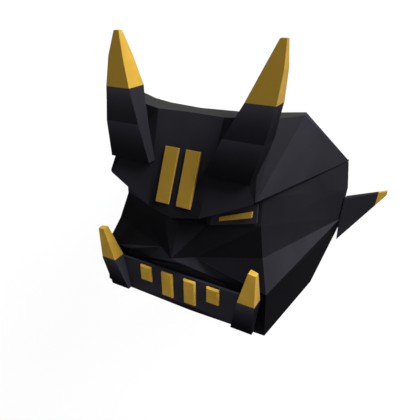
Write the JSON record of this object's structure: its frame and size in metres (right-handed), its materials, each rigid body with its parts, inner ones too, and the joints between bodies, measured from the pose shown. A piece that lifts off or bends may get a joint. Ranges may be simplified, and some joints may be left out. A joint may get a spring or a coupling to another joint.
{
  "type": "oni mask",
  "caption": "Oni mask: faceted black half-shell with gold-tipped horns, slanted gold eyes, gold teeth and tusks, and pointed ears; open behind and below.",
  "frame": {"origin": "centre of the bounding box, on the plane that the back edges lie on", "axes": "+X to the wearer's left, +Y from the chin to the crown, +Z out of the face; the mask lies face up"},
  "size_m": [0.296, 0.258, 0.1875],
  "materials": {
    "black": "satin black paint on moulded resin",
    "gold": "satin gold paint on moulded resin"
  },
  "bodies": {
    "root": {"face_shell": "black", "brow_plate": "black", "horn_left": "black", "horn_right": "black", "forehead_bar_left": "gold", "forehead_bar_right": "gold", "eye_plate_left": "black", "eye_plate_right": "black", "eye_bar_left": "gold", "eye_bar_right": "gold", "jaw_bar": "black", "tusk_left": "gold", "tusk_right": "gold", "tooth_inner_left": "gold", "tooth_inner_right": "gold", "tooth_outer_left": "gold", "tooth_outer_right": "gold", "ear_left": "black", "ear_right": "black"}
  },
  "joints": []
}
